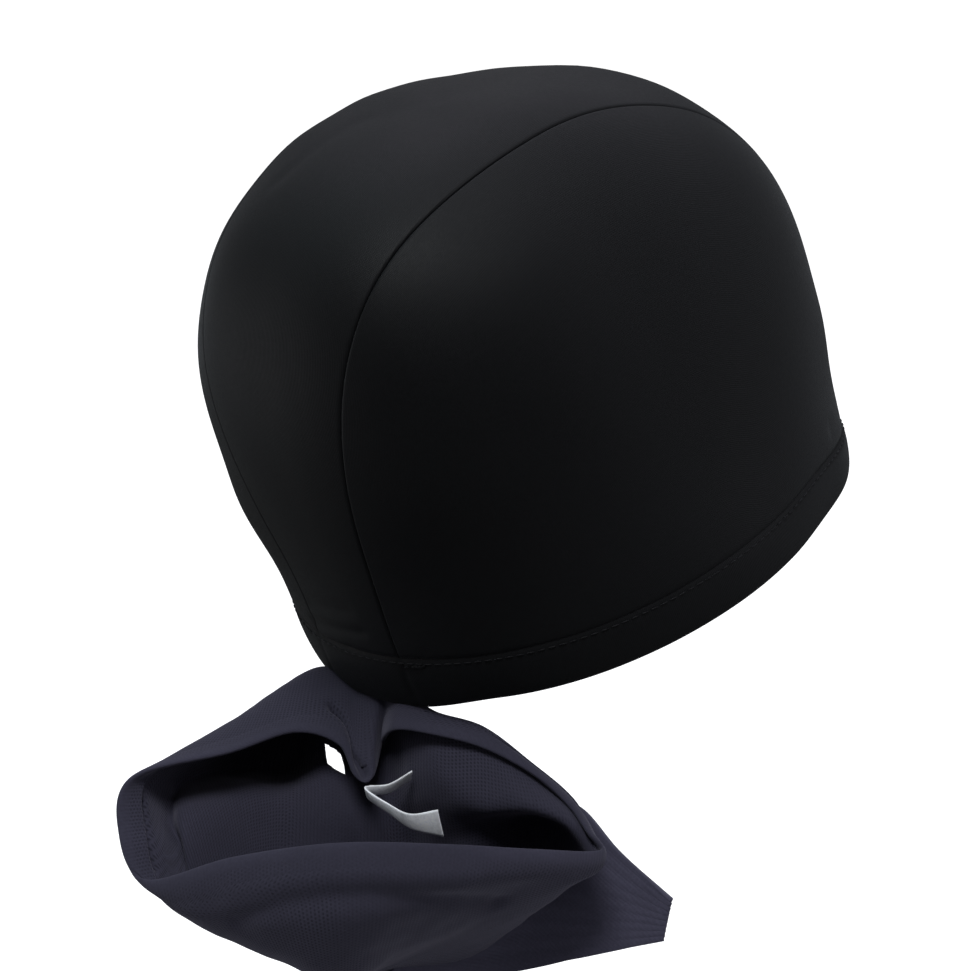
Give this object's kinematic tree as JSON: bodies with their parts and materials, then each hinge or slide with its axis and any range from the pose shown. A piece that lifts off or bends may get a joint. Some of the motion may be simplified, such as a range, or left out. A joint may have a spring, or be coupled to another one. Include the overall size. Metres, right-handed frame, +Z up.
{
  "type": "swim cap with hair pouch",
  "caption": "Stretch-cloth swim cap with a crown strip between two side panels, a turned hem round the rim and an open mesh hair pouch hanging at the nape.",
  "frame": {"origin": "highest inner point of the crown, where the head touches the cloth", "axes": "+Z up on an upright head, -Y the way the wearer faces, +X to the wearer's left"},
  "size_m": [0.1513, 0.2373, 0.2394],
  "materials": {
    "cap_cloth": "smooth black stretch knit with a faint satin sheen",
    "mesh_cloth": "matte dark navy eyelet mesh knit",
    "label_ribbon": "matte white woven ribbon, blank"
  },
  "bodies": {
    "root": {"crown_strip": "cap_cloth", "side_panel_right": "cap_cloth", "side_panel_left": "cap_cloth", "hem_band": "cap_cloth", "hair_pouch": "mesh_cloth", "pouch_hem": "mesh_cloth", "care_label": "label_ribbon"}
  },
  "joints": []
}
